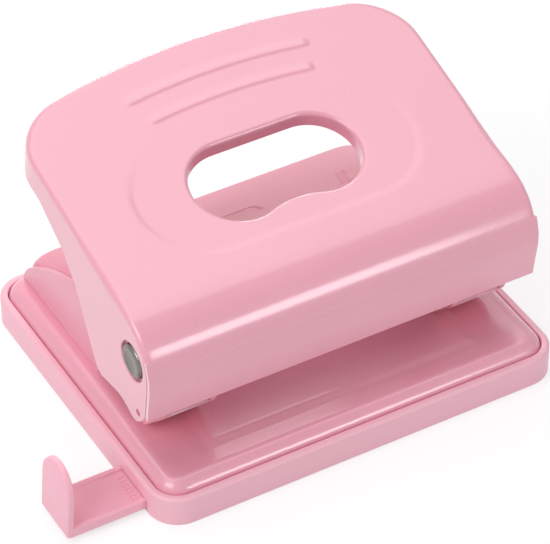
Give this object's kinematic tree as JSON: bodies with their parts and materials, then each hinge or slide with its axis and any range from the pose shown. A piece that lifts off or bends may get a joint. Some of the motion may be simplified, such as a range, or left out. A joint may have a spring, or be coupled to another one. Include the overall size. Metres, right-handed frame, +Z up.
{
  "type": "two-hole paper punch",
  "caption": "Desk paper punch: pressed sheet-metal lever with a hand hole over a domed base plate on a plastic chip tray, with a sliding paper guide at the left.",
  "frame": {"origin": "centre of the chip tray's underside, on the surface the punch stands on", "axes": "+X along the lever's pivot axis towards the side away from the paper guide's stop, -Y towards the side where the paper goes in, +Z up"},
  "size_m": [0.1306, 0.091, 0.0678],
  "materials": {
    "painted_sheet": "glossy pink enamel on pressed sheet steel",
    "tray_plastic": "satin pink moulded plastic, a shade lighter than the enamel",
    "guide_plastic": "satin pink moulded plastic",
    "plated_steel": "bright plated steel",
    "tool_steel": "ground tool steel",
    "spring_steel": "bright spring steel"
  },
  "bodies": {
    "tray": {"chip_tray": "tray_plastic"},
    "guide": {"paper_guide": "guide_plastic"},
    "chassis": {"base_plate": "painted_sheet", "rear_hood": "painted_sheet", "left_frame": "painted_sheet", "right_frame": "painted_sheet", "frame_rivets": "plated_steel", "hood_rivets": "plated_steel", "left_die_bush": "tool_steel", "right_die_bush": "tool_steel", "left_pivot_pin": "plated_steel", "right_pivot_pin": "plated_steel", "left_pivot_spacer": "plated_steel", "right_pivot_spacer": "plated_steel", "left_pivot_ring": "spring_steel", "right_pivot_ring": "spring_steel", "left_punch_spring": "spring_steel", "right_punch_spring": "spring_steel"},
    "hand_lever": {"lever": "painted_sheet"},
    "left_cutter": {"left_punch": "tool_steel", "left_punch_ring": "spring_steel"},
    "right_cutter": {"right_punch": "tool_steel", "right_punch_ring": "spring_steel"}
  },
  "joints": [
    {"name": "tray_release", "type": "slide", "parent": "tray", "child": "chassis", "axis": [0, 0, 1], "range_m": [0, 0.012]},
    {"name": "guide_slide", "type": "slide", "parent": "tray", "child": "guide", "axis": [-1, 0, 0], "range_m": [-0.0182, 0.0745]},
    {"name": "lever_hinge", "type": "hinge", "parent": "chassis", "child": "hand_lever", "pos_m": [0, -0.0273, 0.0386], "axis": [-1, 0, 0], "range_deg": [0, 24], "stiffness_Nm_per_rad": 0.6, "springref_deg": -17.19},
    {"name": "left_punch_slide", "type": "slide", "parent": "chassis", "child": "left_cutter", "axis": [0, 0, -1], "range_m": [0, 0.0073], "deforming": ["left_punch_spring"]},
    {"name": "right_punch_slide", "type": "slide", "parent": "chassis", "child": "right_cutter", "axis": [0, 0, -1], "range_m": [0, 0.0073], "deforming": ["right_punch_spring"]}
  ],
  "couplings": [
    {"joint": "left_punch_slide", "follows": "lever_hinge", "m_per_rad": 0.0174},
    {"joint": "right_punch_slide", "follows": "lever_hinge", "m_per_rad": 0.0174}
  ]
}
